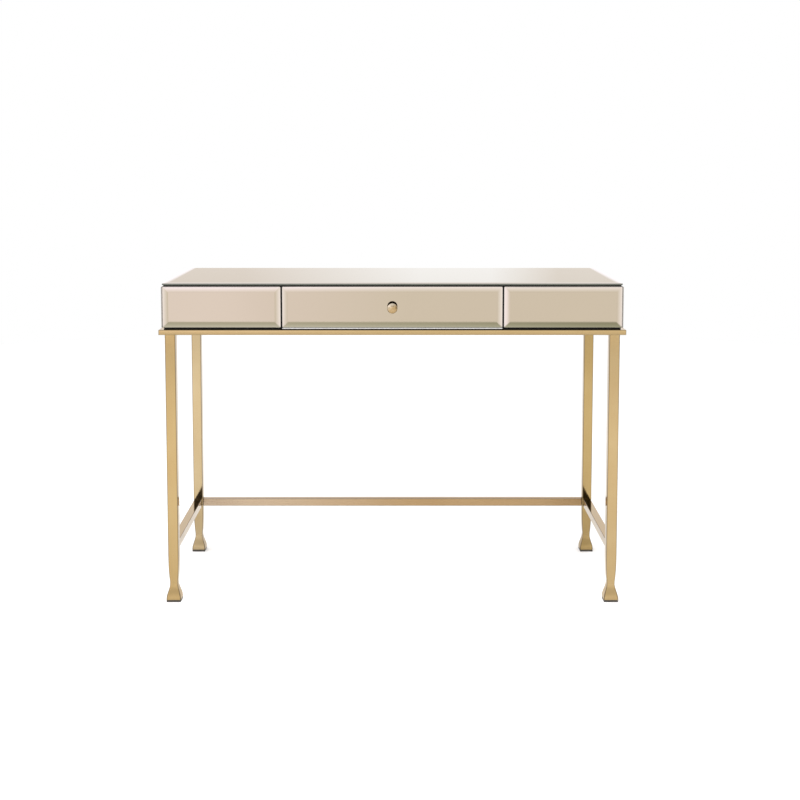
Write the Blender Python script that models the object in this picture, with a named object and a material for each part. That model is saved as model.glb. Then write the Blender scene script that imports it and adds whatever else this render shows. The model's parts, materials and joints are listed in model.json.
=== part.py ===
"""Dressing table: a mirror-clad box with one centre drawer, standing on an open square-bar metal base.

Metres, +Z up, +X to the right as seen from the front, the front faces -Y.
The origin is on the floor, below the middle of the whole object's box, knob included.
"""

import math

import bmesh
import bpy
from mathutils import Matrix, Vector

# Driving dimensions of the whole table
TABLE_WIDTH = 1.100  # over the flat-bar frame
TABLE_DEPTH = 0.450  # over the flat-bar frame
TABLE_HEIGHT = 0.770
GAP = 0.0003  # clearance between pieces that touch

# Metal base
BAR_WIDTH = 0.040  # flat bars of the top frame
BAR_HEIGHT = 0.012
LEG_WIDTH = 0.025  # square legs
LEG_INSET = 0.0125  # leg face behind the edge of the frame
NECK_WIDTH = 0.0190
FOOT_WIDTH = 0.0345
TAPER_TOP = 0.120
NECK_TOP = 0.047
NECK_BOTTOM = 0.043
FLARE_BOTTOM = 0.008
PAD_HEIGHT = 0.005
PAD_SETBACK = 0.0004  # the pad is a little smaller than the foot all round
STRETCHER_WIDTH = 0.020
STRETCHER_BOTTOM = 0.1245
METAL_EDGE = 0.0008  # rounding of the bars' long edges
SECTION_CORNER = 0.0015  # chamfer on the legs' corners
TAPER_POWER = 2.4  # above 1 the taper starts gently
TAPER_STEPS = 6
FLARE_STEPS = 8

# Mirror-clad box
BOX_INSET = 0.005  # box face behind the edge of the frame
TOP_GLASS = 0.005
PANEL_GLASS = 0.004
PANEL_HEIGHT = 0.0965
TOP_REVEAL = 0.0035  # dark gap above the upright panels
BOTTOM_REVEAL = 0.005  # dark gap below them
TOP_GLASS_INSET = 0.0035  # edge of the top glass behind the faces of the panels
TOP_BEVEL_WIDTH = 0.016
TOP_BEVEL_DROP = 0.0012
PANEL_BEVEL_WIDTH = 0.014
PANEL_BEVEL_DROP = 0.0016
BOARD = 0.012
BOARD_EDGE = 0.0005

# Front: fixed panel, drawer, fixed panel
DRAWER_FRONT_WIDTH = 0.5181
FRONT_GAP = 0.0038
EDGE_STRIP_HEIGHT = 0.003  # bright metal strip under the drawer's front
EDGE_STRIP_SETBACK = 0.0006
EDGE_STRIP_EDGE = 0.0003

# Drawer box and its ball-bearing runners
DRAWER_BOX_DEPTH = 0.350
DRAWER_BOX_HEIGHT = 0.065
DRAWER_BOX_LIFT = 0.0077  # drawer sides above the bottom board of the carcass
DRAWER_BOTTOM = 0.006
DRAWER_BOTTOM_LIFT = 0.0025
RUNNER_SPACE = 0.0133  # between the divider and the side of the drawer
RUNNER_LENGTH = 0.300
RUNNER_SETBACK = 0.0044  # front of the runners behind the front edge of the carcass
RUNNER_SHEET = 0.0012
RUNNER_SCREW_INSET = 0.037
DRAWER_TRAVEL = 0.300
RUNNER_RATIO = 0.5  # the middle member moves half as far as the drawer
# Each runner member's web and lips, as distances from the divider's face, and half its height
RUNNER_OUTER = (GAP, 0.0100, 0.0175)
RUNNER_MIDDLE = (0.0032, 0.0112, 0.0145)
RUNNER_INNER = (RUNNER_SPACE - GAP - RUNNER_SHEET, 0.0065, 0.0115)

# Knob
KNOB_RADIUS = 0.012
KNOB_HALF_THICKNESS = 0.0060
KNOB_REACH = 0.030
KNOB_NECK_RADIUS = 0.0045
KNOB_FLANGE_RADIUS = 0.007
KNOB_FLANGE_HEIGHT = 0.0015
KNOB_FLANGE_SLOPE = 0.001
KNOB_STEPS = 14
KNOB_HOLE_DEPTH = 0.0095

# Screws: shank radius, head radius, head height
HOLE_PLAY = 0.0003
DRILL_LEAD = 0.002  # a drill starts this far outside, and a through hole runs on as far
FRAME_SCREW = (0.0024, 0.0045, 0.0030)
RUNNER_SCREW = (0.0019, 0.0040, 0.0011)
KNOB_SCREW = (0.0020, 0.0040, 0.0022)
FRAME_SCREW_INSET = 0.031
FRAME_SCREW_X = 0.300
FRAME_SCREW_BITE = 0.0090
RUNNER_SCREW_BITE = 0.0080
HOLE_SPARE = 0.0005  # a blind hole is this much deeper than its screw
SCREW_CROWN = 0.72  # flat of a screw's head, as a share of its radius
SCREW_SHOULDER = 0.55  # where the head is widest, as a share of its height
SCREW_POINT = 0.35  # tip of the shank, as a share of its radius
SCREW_SIDES = 16
KNOB_SIDES = 32

# Places that follow from the sizes above
MIDDLE_Y = (KNOB_REACH - BOX_INSET) / 2  # middle of the frame, behind the origin
FRAME_FRONT = MIDDLE_Y - TABLE_DEPTH / 2
FRAME_BACK = MIDDLE_Y + TABLE_DEPTH / 2
HALF_WIDTH = TABLE_WIDTH / 2
BOX_FRONT = FRAME_FRONT + BOX_INSET
BOX_BACK = FRAME_BACK - BOX_INSET
BOX_HALF = HALF_WIDTH - BOX_INSET
PANEL_TOP = TABLE_HEIGHT - TOP_GLASS - TOP_REVEAL
PANEL_BOTTOM = PANEL_TOP - PANEL_HEIGHT
FRAME_TOP = PANEL_BOTTOM - BOTTOM_REVEAL
FRAME_BOTTOM = FRAME_TOP - BAR_HEIGHT
PANEL_MIDDLE = (PANEL_TOP + PANEL_BOTTOM) / 2
LEG_X = HALF_WIDTH - LEG_INSET - LEG_WIDTH / 2
LEG_Y = TABLE_DEPTH / 2 - LEG_INSET - LEG_WIDTH / 2
STRETCHER_TOP = STRETCHER_BOTTOM + STRETCHER_WIDTH
CARCASS_HALF = BOX_HALF - PANEL_GLASS - GAP
FRONT_BOARD_Y = BOX_FRONT + PANEL_GLASS + GAP
CARCASS_FRONT = FRONT_BOARD_Y + BOARD + GAP
CARCASS_BACK = BOX_BACK - PANEL_GLASS - GAP
CARCASS_BOTTOM = FRAME_TOP + GAP
CARCASS_TOP = TABLE_HEIGHT - TOP_GLASS - GAP
INNER_BOTTOM = CARCASS_BOTTOM + BOARD
INNER_TOP = CARCASS_TOP - BOARD
DRAWER_FRONT_HALF = DRAWER_FRONT_WIDTH / 2
FIXED_FRONT_X = DRAWER_FRONT_HALF + FRONT_GAP
DIVIDER_X = DRAWER_FRONT_HALF + FRONT_GAP / 2 - BOARD / 2  # inner face of a divider
DRAWER_SIDE_X = DIVIDER_X - RUNNER_SPACE  # outer face of a drawer side
DRAWER_BOX_BOTTOM = INNER_BOTTOM + DRAWER_BOX_LIFT
DRAWER_BOX_BACK = CARCASS_FRONT + DRAWER_BOX_DEPTH
RUNNER_FRONT = CARCASS_FRONT + RUNNER_SETBACK
RUNNER_Z = DRAWER_BOX_BOTTOM + DRAWER_BOX_HEIGHT / 2

# Colour (linear), roughness and metallic value of each finish
FINISHES = {
    "brass": ((0.72, 0.47, 0.20), 0.24, 1.0),
    "top_mirror": ((0.78, 0.70, 0.60), 0.04, 1.0),
    "panel_mirror": ((0.70, 0.58, 0.45), 0.04, 1.0),
    "black_board": ((0.020, 0.019, 0.017), 0.55, 0.0),
    "drawer_board": ((0.030, 0.028, 0.026), 0.60, 0.0),
    "runner_steel": ((0.60, 0.61, 0.62), 0.32, 1.0),
    "screw_steel": ((0.50, 0.50, 0.51), 0.38, 1.0),
    "aluminium": ((0.80, 0.82, 0.80), 0.20, 1.0),
    "pad_rubber": ((0.030, 0.028, 0.026), 0.75, 0.0),
}


def clear_scene():
    for old in list(bpy.data.objects):
        bpy.data.objects.remove(old)


def finish(name, kind):
    """One Principled material for the node of that name."""
    colour, roughness, metallic = FINISHES[kind]
    made = bpy.data.materials.new(name + "_" + kind)
    made.use_nodes = True
    shader = made.node_tree.nodes["Principled BSDF"]
    shader.inputs["Base Color"].default_value = (*colour, 1.0)
    shader.inputs["Roughness"].default_value = roughness
    shader.inputs["Metallic"].default_value = metallic
    made.diffuse_color = (*colour, 1.0)
    return made


def add_object(name, mesh_data, kind, parent=None, place=Matrix.Identity(4)):
    """Turns a bmesh into a named object; place is its world matrix."""
    bmesh.ops.recalc_face_normals(mesh_data, faces=mesh_data.faces)
    mesh = bpy.data.meshes.new(name)
    mesh_data.to_mesh(mesh)
    mesh_data.free()
    obj = bpy.data.objects.new(name, mesh)
    bpy.context.scene.collection.objects.link(obj)
    obj.data.materials.append(finish(name, kind))
    if parent is not None:
        obj.parent = parent
        obj.matrix_parent_inverse = parent.matrix_world.inverted()
    obj.matrix_world = place
    return obj


def add_empty(name, point):
    """An empty on the axis of a joint, to carry the pieces that move with it."""
    empty = bpy.data.objects.new(name, None)
    bpy.context.scene.collection.objects.link(empty)
    empty.location = point
    bpy.context.view_layer.update()
    return empty


def round_edges(obj, width, segments=1):
    bevel = obj.modifiers.new("edges", "BEVEL")
    bevel.width = width
    bevel.segments = segments
    bevel.limit_method = "ANGLE"


def smooth_shading(obj, angle=math.radians(35)):
    obj.data.shade_smooth()
    obj.data.set_sharp_from_angle(angle=angle)


def box(name, low, high, kind, parent=None, edge=BOARD_EDGE):
    """A board or bar from its lowest to its highest corner, with eased edges."""
    low, high = Vector(low), Vector(high)
    shape = bmesh.new()
    bmesh.ops.create_cube(shape, size=1.0)
    bmesh.ops.scale(shape, vec=high - low, verts=shape.verts)
    obj = add_object(name, shape, kind, parent, Matrix.Translation((low + high) / 2))
    round_edges(obj, edge)
    return obj


def loft(shape, rings):
    """Joins rings of equally many points into one closed skin with flat ends."""
    made = [[shape.verts.new(point) for point in ring] for ring in rings]
    for lower, upper in zip(made, made[1:]):
        for i in range(len(lower)):
            j = (i + 1) % len(lower)
            shape.faces.new((lower[i], lower[j], upper[j], upper[i]))
    shape.faces.new(made[0])
    shape.faces.new(made[-1])


def rectangle(half_x, half_y, z):
    return [(-half_x, -half_y, z), (half_x, -half_y, z), (half_x, half_y, z), (-half_x, half_y, z)]


def bevelled_glass(name, size, thickness, bevel, drop, facing, centre, kind, parent=None):
    """A mirror with a wide bevel round its face. centre is the middle of that face.

    size is (width, height) of the sheet: width runs along X, or along Y on a side panel.
    """
    half_x, half_y = size[0] / 2, size[1] / 2
    shape = bmesh.new()
    loft(shape, [
        rectangle(half_x, half_y, -thickness),
        rectangle(half_x, half_y, -drop),
        rectangle(half_x - bevel, half_y - bevel, 0.0),
    ])
    normal = Vector(facing)
    along = Vector((1, 0, 0)) if abs(normal.x) < 0.5 else Vector((0, 1, 0))
    turn = Matrix((along, normal.cross(along), normal)).transposed().to_4x4()
    return add_object(name, shape, kind, parent, Matrix.Translation(centre) @ turn)


def turned(shape, profile, sides):
    """Spins (radius, height) points about Z into a closed solid that starts and ends on the axis."""
    rings = []
    for radius, height in profile[1:-1]:
        ring = []
        for i in range(sides):
            angle = 2 * math.pi * i / sides
            ring.append((radius * math.cos(angle), radius * math.sin(angle), height))
        rings.append([shape.verts.new(point) for point in ring])
    start = shape.verts.new((0, 0, profile[0][1]))
    end = shape.verts.new((0, 0, profile[-1][1]))
    for i in range(sides):
        j = (i + 1) % sides
        shape.faces.new((start, rings[0][j], rings[0][i]))
        shape.faces.new((end, rings[-1][i], rings[-1][j]))
        for lower, upper in zip(rings, rings[1:]):
            shape.faces.new((lower[i], lower[j], upper[j], upper[i]))


def along_axis(point, direction):
    """World matrix that stands a shape's +Z axis along direction, from point."""
    return Matrix.Translation(point) @ Vector(direction).to_track_quat("Z", "Y").to_matrix().to_4x4()


def screw(name, seat, direction, sizes, length, parent=None):
    """A pan-head screw. seat is the point under its head, direction the way its shank points."""
    shank, head, height = sizes
    shape = bmesh.new()
    turned(shape, [
        (0, -height),
        (SCREW_CROWN * head, -height),
        (head, -SCREW_SHOULDER * height),
        (head, 0),
        (shank, 0),
        (shank, length - shank),
        (SCREW_POINT * shank, length),
        (0, length),
    ], SCREW_SIDES)
    obj = add_object(name, shape, "screw_steel", parent, along_axis(seat, direction))
    smooth_shading(obj)
    return obj


def drill(obj, mouth, direction, radius, depth, sides=SCREW_SIDES):
    """Bores a round hole into obj from mouth along direction, with a hidden cutter."""
    shape = bmesh.new()
    turned(shape, [(0, -DRILL_LEAD), (radius, -DRILL_LEAD), (radius, depth), (0, depth)], sides)
    name = obj.name + "_hole_cutter"
    cutter = add_object(name, shape, "screw_steel", obj.parent, along_axis(mouth, direction))
    cutter.hide_render = True
    cutter.display_type = "WIRE"
    cut = obj.modifiers.new("hole", "BOOLEAN")
    cut.operation = "DIFFERENCE"
    cut.object = cutter
    cut.solver = "EXACT"


# ---------------------------------------------------------------- metal base


def leg_half_width(z):
    """Half width of a leg at height z: straight, tapering to a neck, flaring out to the foot."""
    leg, neck, foot = LEG_WIDTH / 2, NECK_WIDTH / 2, FOOT_WIDTH / 2
    if z >= TAPER_TOP:
        return leg
    if z >= NECK_TOP:
        share = (TAPER_TOP - z) / (TAPER_TOP - NECK_TOP)
        return leg + (neck - leg) * share ** TAPER_POWER
    if z >= NECK_BOTTOM:
        return neck
    share = min(1.0, (NECK_BOTTOM - z) / (NECK_BOTTOM - FLARE_BOTTOM))
    return neck + (foot - neck) * share * share * (3 - 2 * share)


def leg_heights():
    """Heights of the rings that a leg's skin is drawn through, from foot to top."""
    flare_step = (NECK_BOTTOM - FLARE_BOTTOM) / FLARE_STEPS
    flare = [FLARE_BOTTOM + flare_step * i for i in range(FLARE_STEPS + 1)]
    taper_step = (TAPER_TOP - NECK_TOP) / TAPER_STEPS
    taper = [NECK_TOP + taper_step * i for i in range(TAPER_STEPS + 1)]
    return [PAD_HEIGHT + GAP, *flare, *taper, FRAME_BOTTOM - GAP]


def square_section(half, corner, z):
    """A square outline with its four corners cut off."""
    inner = half - corner
    return [
        (-inner, -half, z), (inner, -half, z), (half, -inner, z), (half, inner, z),
        (inner, half, z), (-inner, half, z), (-half, inner, z), (-half, -inner, z),
    ]


def make_leg(name, x, y):
    shape = bmesh.new()
    loft(shape, [square_section(leg_half_width(z), SECTION_CORNER, z) for z in leg_heights()])
    smooth_shading(add_object(name, shape, "brass", place=Matrix.Translation((x, y, 0))))


def make_pad(name, x, y):
    half = FOOT_WIDTH / 2 - PAD_SETBACK
    box(name, (x - half, y - half, 0), (x + half, y + half, PAD_HEIGHT), "pad_rubber")


def make_legs():
    for side, x in (("left", -LEG_X), ("right", LEG_X)):
        for end, y in (("front", MIDDLE_Y - LEG_Y), ("back", MIDDLE_Y + LEG_Y)):
            make_leg("leg_" + end + "_" + side, x, y)
            make_pad("foot_pad_" + end + "_" + side, x, y)


def drill_rail(rail, x, y):
    radius = FRAME_SCREW[0] + HOLE_PLAY
    drill(rail, (x, y, FRAME_BOTTOM), (0, 0, 1), radius, BAR_HEIGHT + DRILL_LEAD)


def make_rails():
    """The flat-bar frame that the box sits on: long bars at the front and back, short ones between."""
    for end, y in (("front", FRAME_FRONT), ("back", FRAME_BACK - BAR_WIDTH)):
        rail = box(
            "frame_rail_" + end,
            (-HALF_WIDTH, y, FRAME_BOTTOM),
            (HALF_WIDTH, y + BAR_WIDTH, FRAME_TOP),
            "brass",
            edge=METAL_EDGE,
        )
        for x in (-FRAME_SCREW_X, FRAME_SCREW_X):
            drill_rail(rail, x, frame_screw_y(end))
    for side, x in (("left", -HALF_WIDTH), ("right", HALF_WIDTH - BAR_WIDTH)):
        rail = box(
            "frame_rail_" + side,
            (x, FRAME_FRONT + BAR_WIDTH + GAP, FRAME_BOTTOM),
            (x + BAR_WIDTH, FRAME_BACK - BAR_WIDTH - GAP, FRAME_TOP),
            "brass",
            edge=METAL_EDGE,
        )
        drill_rail(rail, frame_screw_x(side), MIDDLE_Y)


def make_stretchers():
    """Low bars between the legs: one on each side and one along the back, none in front."""
    half = STRETCHER_WIDTH / 2
    reach_y = LEG_Y - LEG_WIDTH / 2 - GAP
    for side, x in (("left", -LEG_X), ("right", LEG_X)):
        box(
            "stretcher_" + side,
            (x - half, MIDDLE_Y - reach_y, STRETCHER_BOTTOM),
            (x + half, MIDDLE_Y + reach_y, STRETCHER_TOP),
            "brass",
            edge=METAL_EDGE,
        )
    reach_x = LEG_X - LEG_WIDTH / 2 - GAP
    y = MIDDLE_Y + LEG_Y
    box(
        "stretcher_back",
        (-reach_x, y - half, STRETCHER_BOTTOM),
        (reach_x, y + half, STRETCHER_TOP),
        "brass",
        edge=METAL_EDGE,
    )


# ---------------------------------------------------------------- carcass boards


def frame_screw_y(end):
    reach = TABLE_DEPTH / 2 - FRAME_SCREW_INSET
    return MIDDLE_Y - reach if end == "front" else MIDDLE_Y + reach


def frame_screw_x(side):
    reach = HALF_WIDTH - FRAME_SCREW_INSET
    return -reach if side == "left" else reach


def frame_screw_places():
    """(name, x, y) of each screw that holds the carcass down on the metal frame."""
    places = []
    for end in ("front", "back"):
        for side, x in (("left", -FRAME_SCREW_X), ("right", FRAME_SCREW_X)):
            places.append(("frame_screw_" + end + "_" + side, x, frame_screw_y(end)))
    for side in ("left", "right"):
        places.append(("frame_screw_" + side, frame_screw_x(side), MIDDLE_Y))
    return places


def make_frame_screws():
    length = GAP + BAR_HEIGHT + GAP + FRAME_SCREW_BITE
    for name, x, y in frame_screw_places():
        screw(name, (x, y, FRAME_BOTTOM - GAP), (0, 0, 1), FRAME_SCREW, length)


def make_carcass():
    """Boards round the box, a divider at each side of the drawer, a board behind each fixed front."""
    bottom = box(
        "carcass_bottom",
        (-CARCASS_HALF, CARCASS_FRONT, CARCASS_BOTTOM),
        (CARCASS_HALF, CARCASS_BACK, INNER_BOTTOM),
        "black_board",
    )
    radius = FRAME_SCREW[0] + HOLE_PLAY
    for _, x, y in frame_screw_places():
        drill(bottom, (x, y, CARCASS_BOTTOM), (0, 0, 1), radius, FRAME_SCREW_BITE + HOLE_SPARE)
    box(
        "carcass_top",
        (-CARCASS_HALF, CARCASS_FRONT, INNER_TOP),
        (CARCASS_HALF, CARCASS_BACK, CARCASS_TOP),
        "black_board",
    )
    low, high = INNER_BOTTOM + GAP, INNER_TOP - GAP
    side_inner = CARCASS_HALF - BOARD
    for side, sign in (("left", -1), ("right", 1)):
        edges = sorted((sign * side_inner, sign * CARCASS_HALF))
        box(
            "carcass_side_" + side,
            (edges[0], CARCASS_FRONT, low),
            (edges[1], CARCASS_BACK, high),
            "black_board",
        )
    back_half = side_inner - GAP
    back_front = CARCASS_BACK - BOARD
    box("carcass_back", (-back_half, back_front, low), (back_half, CARCASS_BACK, high), "black_board")
    for side, sign in (("left", -1), ("right", 1)):
        edges = sorted((sign * DIVIDER_X, sign * (DIVIDER_X + BOARD)))
        divider = box(
            "divider_" + side,
            (edges[0], CARCASS_FRONT, low),
            (edges[1], back_front - GAP, high),
            "black_board",
        )
        for y in runner_screw_y():
            drill(
                divider,
                (sign * DIVIDER_X, y, RUNNER_Z),
                (sign, 0, 0),
                RUNNER_SCREW[0] + HOLE_PLAY,
                RUNNER_SCREW_BITE + HOLE_SPARE,
            )
        edges = sorted((sign * FIXED_FRONT_X, sign * CARCASS_HALF))
        box(
            "front_board_" + side,
            (edges[0], FRONT_BOARD_Y, PANEL_BOTTOM),
            (edges[1], FRONT_BOARD_Y + BOARD, PANEL_TOP),
            "black_board",
        )


# ---------------------------------------------------------------- mirror glass


def make_glass():
    """Bevelled mirrors on the top, both sides, the back and the two fixed fronts."""
    bevelled_glass(
        "glass_top",
        (2 * (BOX_HALF - TOP_GLASS_INSET), BOX_BACK - BOX_FRONT - 2 * TOP_GLASS_INSET),
        TOP_GLASS,
        TOP_BEVEL_WIDTH,
        TOP_BEVEL_DROP,
        (0, 0, 1),
        (0, (BOX_FRONT + BOX_BACK) / 2, TABLE_HEIGHT),
        "top_mirror",
    )
    panel = (PANEL_GLASS, PANEL_BEVEL_WIDTH, PANEL_BEVEL_DROP)
    middle = (BOX_FRONT + BOX_BACK) / 2
    for side, sign in (("left", -1), ("right", 1)):
        bevelled_glass(
            "glass_side_" + side,
            (BOX_BACK - BOX_FRONT, PANEL_HEIGHT),
            *panel,
            (sign, 0, 0),
            (sign * BOX_HALF, middle, PANEL_MIDDLE),
            "panel_mirror",
        )
        width = CARCASS_HALF - FIXED_FRONT_X
        bevelled_glass(
            "glass_front_" + side,
            (width, PANEL_HEIGHT),
            *panel,
            (0, -1, 0),
            (sign * (FIXED_FRONT_X + width / 2), BOX_FRONT, PANEL_MIDDLE),
            "panel_mirror",
        )
    bevelled_glass(
        "glass_back",
        (2 * CARCASS_HALF, PANEL_HEIGHT),
        *panel,
        (0, 1, 0),
        (0, BOX_BACK, PANEL_MIDDLE),
        "panel_mirror",
    )


# ---------------------------------------------------------------- drawer


def make_drawer(slide):
    """The drawer: a bevelled mirror and an edge strip on a front board, with a shallow box behind."""
    knob_screw_hole = KNOB_SCREW[0] + HOLE_PLAY
    glass = bevelled_glass(
        "drawer_glass",
        (DRAWER_FRONT_WIDTH, PANEL_HEIGHT),
        PANEL_GLASS,
        PANEL_BEVEL_WIDTH,
        PANEL_BEVEL_DROP,
        (0, -1, 0),
        (0, BOX_FRONT, PANEL_MIDDLE),
        "panel_mirror",
        slide,
    )
    drill(glass, (0, BOX_FRONT, PANEL_MIDDLE), (0, 1, 0), knob_screw_hole, PANEL_GLASS + DRILL_LEAD)
    front = box(
        "drawer_front_board",
        (-DRAWER_FRONT_HALF, FRONT_BOARD_Y, PANEL_BOTTOM),
        (DRAWER_FRONT_HALF, FRONT_BOARD_Y + BOARD, PANEL_TOP),
        "black_board",
        slide,
    )
    drill(front, (0, FRONT_BOARD_Y, PANEL_MIDDLE), (0, 1, 0), knob_screw_hole, BOARD + DRILL_LEAD)
    strip_top = PANEL_BOTTOM - GAP
    box(
        "drawer_edge_strip",
        (-DRAWER_FRONT_HALF, BOX_FRONT + EDGE_STRIP_SETBACK, strip_top - EDGE_STRIP_HEIGHT),
        (DRAWER_FRONT_HALF, CARCASS_FRONT - GAP, strip_top),
        "aluminium",
        slide,
        edge=EDGE_STRIP_EDGE,
    )
    top = DRAWER_BOX_BOTTOM + DRAWER_BOX_HEIGHT
    inner = DRAWER_SIDE_X - BOARD
    for side, sign in (("left", -1), ("right", 1)):
        edges = sorted((sign * inner, sign * DRAWER_SIDE_X))
        board = box(
            "drawer_side_" + side,
            (edges[0], CARCASS_FRONT, DRAWER_BOX_BOTTOM),
            (edges[1], DRAWER_BOX_BACK, top),
            "drawer_board",
            slide,
        )
        for y in runner_screw_y():
            drill(
                board,
                (sign * DRAWER_SIDE_X, y, RUNNER_Z),
                (-sign, 0, 0),
                RUNNER_SCREW[0] + HOLE_PLAY,
                RUNNER_SCREW_BITE + HOLE_SPARE,
            )
    half = inner - GAP
    back = DRAWER_BOX_BACK - BOARD
    box(
        "drawer_back",
        (-half, back, DRAWER_BOX_BOTTOM),
        (half, DRAWER_BOX_BACK, top),
        "drawer_board",
        slide,
    )
    floor = DRAWER_BOX_BOTTOM + DRAWER_BOTTOM_LIFT
    box(
        "drawer_bottom",
        (-half, CARCASS_FRONT, floor),
        (half, back - GAP, floor + DRAWER_BOTTOM),
        "drawer_board",
        slide,
    )


def knob_profile():
    """(radius, distance from the glass) of the knob: flange, neck and a flattened ball."""
    middle = KNOB_REACH - KNOB_HALF_THICKNESS
    start = math.asin(KNOB_NECK_RADIUS / KNOB_RADIUS)
    points = [
        (0, GAP),
        (KNOB_FLANGE_RADIUS, GAP),
        (KNOB_FLANGE_RADIUS, KNOB_FLANGE_HEIGHT),
        (KNOB_NECK_RADIUS, KNOB_FLANGE_HEIGHT + KNOB_FLANGE_SLOPE),
    ]
    for i in range(KNOB_STEPS):
        angle = start + (math.pi - start) * i / KNOB_STEPS
        radius = KNOB_RADIUS * math.sin(angle)
        points.append((radius, middle - KNOB_HALF_THICKNESS * math.cos(angle)))
    points.append((0, KNOB_REACH))
    return points


def make_knob(slide):
    shape = bmesh.new()
    turned(shape, knob_profile(), KNOB_SIDES)
    base = Vector((0, BOX_FRONT, PANEL_MIDDLE))
    knob = add_object("knob", shape, "brass", slide, along_axis(base, (0, -1, 0)))
    drill(knob, base, (0, -1, 0), KNOB_SCREW[0] + HOLE_PLAY, GAP + KNOB_HOLE_DEPTH)
    smooth_shading(knob)
    seat = Vector((0, CARCASS_FRONT, PANEL_MIDDLE))
    length = seat.y - base.y + KNOB_HOLE_DEPTH - HOLE_SPARE
    screw("knob_screw", seat, (0, -1, 0), KNOB_SCREW, length, slide)


# ---------------------------------------------------------------- runners


def runner_screw_y():
    return (RUNNER_FRONT + RUNNER_SCREW_INSET, RUNNER_FRONT + RUNNER_LENGTH - RUNNER_SCREW_INSET)


def channel(name, sign, section, parent=None):
    """A folded steel channel along Y: a web one sheet thick, and two lips on either side of it."""
    web, lips, outer = section
    inner = outer - RUNNER_SHEET
    back, face = (web, web + RUNNER_SHEET) if lips > web else (web + RUNNER_SHEET, web)
    outline = [
        (back, -outer), (back, outer), (lips, outer), (lips, inner),
        (face, inner), (face, -inner), (lips, -inner), (lips, -outer),
    ]
    ring = [(sign * (DIVIDER_X - u), height) for u, height in outline]
    middle_y = RUNNER_FRONT + RUNNER_LENGTH / 2
    rings = []
    for y in (-RUNNER_LENGTH / 2, RUNNER_LENGTH / 2):
        rings.append([(x, y, z) for x, z in ring])
    shape = bmesh.new()
    loft(shape, rings)
    return add_object(name, shape, "runner_steel", parent, Matrix.Translation((0, middle_y, RUNNER_Z)))


def make_runners(drawer_slide, middle_slides):
    """A three-member ball-bearing runner on each side: on the divider, in between, and on the drawer."""
    hole = RUNNER_SCREW[0] + HOLE_PLAY
    outer_seat = RUNNER_OUTER[0] + RUNNER_SHEET + GAP
    inner_seat = RUNNER_INNER[0] - GAP
    for side, sign in (("left", -1), ("right", 1)):
        outer = channel("runner_outer_" + side, sign, RUNNER_OUTER)
        channel("runner_middle_" + side, sign, RUNNER_MIDDLE, middle_slides[side])
        inner = channel("runner_inner_" + side, sign, RUNNER_INNER, drawer_slide)
        for end, y in zip(("front", "back"), runner_screw_y()):
            face = (sign * (DIVIDER_X - outer_seat), y, RUNNER_Z)
            drill(outer, face, (sign, 0, 0), hole, outer_seat + DRILL_LEAD)
            length = outer_seat + RUNNER_SCREW_BITE
            name = "runner_screw_outer_" + end + "_" + side
            screw(name, face, (sign, 0, 0), RUNNER_SCREW, length)
            face = (sign * (DIVIDER_X - inner_seat), y, RUNNER_Z)
            drill(inner, face, (-sign, 0, 0), hole, RUNNER_SHEET + 2 * GAP + DRILL_LEAD)
            length = RUNNER_SPACE - inner_seat + RUNNER_SCREW_BITE
            name = "runner_screw_inner_" + end + "_" + side
            screw(name, face, (-sign, 0, 0), RUNNER_SCREW, length, drawer_slide)


def make_table():
    clear_scene()
    slide_point = Vector((0, CARCASS_FRONT, RUNNER_Z))
    drawer_slide = add_empty("drawer_slide_axis", slide_point)
    middle_slides = {}
    for side, sign in (("left", -1), ("right", 1)):
        point = Vector((sign * (DIVIDER_X - RUNNER_SPACE / 2), CARCASS_FRONT, RUNNER_Z))
        middle_slides[side] = add_empty("runner_slide_axis_" + side, point)
    # The drawer comes out along -Y by this much, and each middle member by its share of that.
    drawer_slide["travel"] = DRAWER_TRAVEL
    for empty in middle_slides.values():
        empty["travel"] = DRAWER_TRAVEL * RUNNER_RATIO
    make_rails()
    make_legs()
    make_stretchers()
    make_carcass()
    make_frame_screws()
    make_glass()
    make_drawer(drawer_slide)
    make_knob(drawer_slide)
    make_runners(drawer_slide, middle_slides)
    bpy.context.view_layer.update()


make_table()
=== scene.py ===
"""Looks of the mirror-clad dressing table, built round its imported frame. Metres, +Z up, front towards -Y."""

import json
import math

import bmesh
import bpy
from mathutils import Matrix, Vector

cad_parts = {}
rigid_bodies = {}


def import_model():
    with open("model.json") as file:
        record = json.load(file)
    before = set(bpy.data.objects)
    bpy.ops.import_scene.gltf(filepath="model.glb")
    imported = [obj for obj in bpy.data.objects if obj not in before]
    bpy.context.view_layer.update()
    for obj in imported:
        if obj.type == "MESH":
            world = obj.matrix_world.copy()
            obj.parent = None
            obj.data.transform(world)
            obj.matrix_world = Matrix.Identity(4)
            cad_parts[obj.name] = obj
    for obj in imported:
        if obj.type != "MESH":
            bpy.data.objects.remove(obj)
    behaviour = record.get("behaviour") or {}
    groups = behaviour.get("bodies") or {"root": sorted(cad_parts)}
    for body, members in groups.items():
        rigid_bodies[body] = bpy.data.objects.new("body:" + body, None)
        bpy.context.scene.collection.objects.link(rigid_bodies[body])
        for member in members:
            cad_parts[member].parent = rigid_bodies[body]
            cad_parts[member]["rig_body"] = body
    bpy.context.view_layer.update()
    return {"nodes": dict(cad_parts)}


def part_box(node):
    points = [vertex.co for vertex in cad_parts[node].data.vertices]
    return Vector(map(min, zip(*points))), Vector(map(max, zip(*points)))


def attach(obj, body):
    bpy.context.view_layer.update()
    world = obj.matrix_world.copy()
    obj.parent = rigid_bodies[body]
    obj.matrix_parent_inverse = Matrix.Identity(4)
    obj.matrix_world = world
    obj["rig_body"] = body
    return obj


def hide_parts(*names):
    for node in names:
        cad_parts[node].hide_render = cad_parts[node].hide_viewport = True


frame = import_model()

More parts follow.
